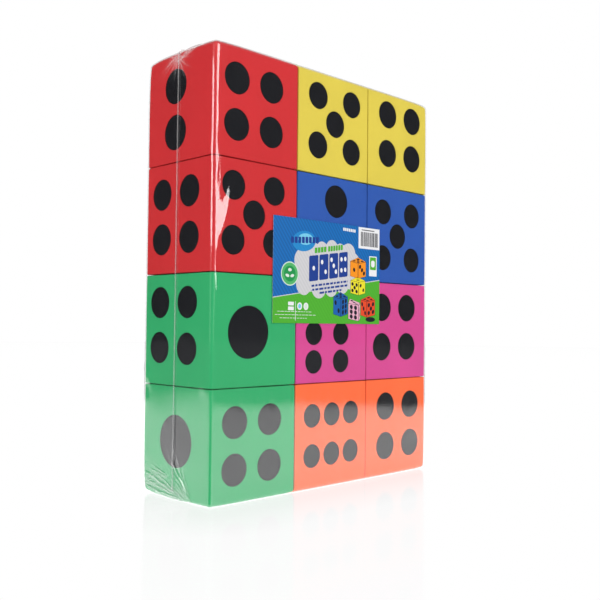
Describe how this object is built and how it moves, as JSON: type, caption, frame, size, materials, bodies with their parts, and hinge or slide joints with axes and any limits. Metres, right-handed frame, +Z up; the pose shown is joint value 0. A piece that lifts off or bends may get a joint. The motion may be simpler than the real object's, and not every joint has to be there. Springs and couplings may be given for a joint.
{
  "type": "film-wrapped pack of giant foam dice",
  "caption": "Upright flat pack of large soft foam dice in clear shrink film, with a printed label across the front; the front film and the dice slide out forwards.",
  "frame": {"origin": "on the floor, under the middle of the pack's bounding box", "axes": "+Z up the pack, +X across its width to the right of a viewer who faces the label, and -Y out of the labelled front"},
  "size_m": [0.3054, 0.1017, 0.4042],
  "materials": {
    "red_foam": "matte, fine closed-cell foam",
    "yellow_foam": "matte, fine closed-cell foam",
    "blue_foam": "matte, fine closed-cell foam",
    "green_foam": "matte, fine closed-cell foam",
    "magenta_foam": "matte, fine closed-cell foam",
    "orange_foam": "matte, fine closed-cell foam",
    "black_foam": "matte, fine closed-cell foam",
    "clear_film": "clear, glossy shrink film",
    "printed_paper": "printed, satin"
  },
  "bodies": {
    "film_back": {"film_back": "clear_film"},
    "film_front": {"film_front": "clear_film", "label": "printed_paper"},
    "red_die_1": {"red_die_1": "red_foam", "red_die_1_pips": "black_foam"},
    "yellow_die_1": {"yellow_die_1": "yellow_foam", "yellow_die_1_pips": "black_foam"},
    "yellow_die_2": {"yellow_die_2": "yellow_foam", "yellow_die_2_pips": "black_foam"},
    "red_die_2": {"red_die_2": "red_foam", "red_die_2_pips": "black_foam"},
    "blue_die_1": {"blue_die_1": "blue_foam", "blue_die_1_pips": "black_foam"},
    "blue_die_2": {"blue_die_2": "blue_foam", "blue_die_2_pips": "black_foam"},
    "green_die_1": {"green_die_1": "green_foam", "green_die_1_pips": "black_foam"},
    "magenta_die_1": {"magenta_die_1": "magenta_foam", "magenta_die_1_pips": "black_foam"},
    "magenta_die_2": {"magenta_die_2": "magenta_foam", "magenta_die_2_pips": "black_foam"},
    "green_die_2": {"green_die_2": "green_foam", "green_die_2_pips": "black_foam"},
    "orange_die_1": {"orange_die_1": "orange_foam", "orange_die_1_pips": "black_foam"},
    "orange_die_2": {"orange_die_2": "orange_foam", "orange_die_2_pips": "black_foam"}
  },
  "joints": [
    {"name": "film_pull", "type": "slide", "parent": "film_back", "child": "film_front", "axis": [0, -1, 0], "range_m": [0, 0.5]},
    {"name": "red_die_1_out", "type": "slide", "parent": "film_back", "child": "red_die_1", "axis": [0, -1, 0], "range_m": [0, 0.3]},
    {"name": "yellow_die_1_out", "type": "slide", "parent": "film_back", "child": "yellow_die_1", "axis": [0, -1, 0], "range_m": [0, 0.32]},
    {"name": "yellow_die_2_out", "type": "slide", "parent": "film_back", "child": "yellow_die_2", "axis": [0, -1, 0], "range_m": [0, 0.34]},
    {"name": "red_die_2_out", "type": "slide", "parent": "film_back", "child": "red_die_2", "axis": [0, -1, 0], "range_m": [0, 0.24]},
    {"name": "blue_die_1_out", "type": "slide", "parent": "film_back", "child": "blue_die_1", "axis": [0, -1, 0], "range_m": [0, 0.26]},
    {"name": "blue_die_2_out", "type": "slide", "parent": "film_back", "child": "blue_die_2", "axis": [0, -1, 0], "range_m": [0, 0.28]},
    {"name": "green_die_1_out", "type": "slide", "parent": "film_back", "child": "green_die_1", "axis": [0, -1, 0], "range_m": [0, 0.18]},
    {"name": "magenta_die_1_out", "type": "slide", "parent": "film_back", "child": "magenta_die_1", "axis": [0, -1, 0], "range_m": [0, 0.2]},
    {"name": "magenta_die_2_out", "type": "slide", "parent": "film_back", "child": "magenta_die_2", "axis": [0, -1, 0], "range_m": [0, 0.22]},
    {"name": "green_die_2_out", "type": "slide", "parent": "film_back", "child": "green_die_2", "axis": [0, -1, 0], "range_m": [0, 0.12]},
    {"name": "orange_die_1_out", "type": "slide", "parent": "film_back", "child": "orange_die_1", "axis": [0, -1, 0], "range_m": [0, 0.14]},
    {"name": "orange_die_2_out", "type": "slide", "parent": "film_back", "child": "orange_die_2", "axis": [0, -1, 0], "range_m": [0, 0.16]}
  ],
  "couplings": [
    {"joint": "red_die_1_out", "follows": "film_pull", "ratio": 0.6},
    {"joint": "yellow_die_1_out", "follows": "film_pull", "ratio": 0.64},
    {"joint": "yellow_die_2_out", "follows": "film_pull", "ratio": 0.68},
    {"joint": "red_die_2_out", "follows": "film_pull", "ratio": 0.48},
    {"joint": "blue_die_1_out", "follows": "film_pull", "ratio": 0.52},
    {"joint": "blue_die_2_out", "follows": "film_pull", "ratio": 0.56},
    {"joint": "green_die_1_out", "follows": "film_pull", "ratio": 0.36},
    {"joint": "magenta_die_1_out", "follows": "film_pull", "ratio": 0.4},
    {"joint": "magenta_die_2_out", "follows": "film_pull", "ratio": 0.44},
    {"joint": "green_die_2_out", "follows": "film_pull", "ratio": 0.24},
    {"joint": "orange_die_1_out", "follows": "film_pull", "ratio": 0.28},
    {"joint": "orange_die_2_out", "follows": "film_pull", "ratio": 0.32}
  ]
}
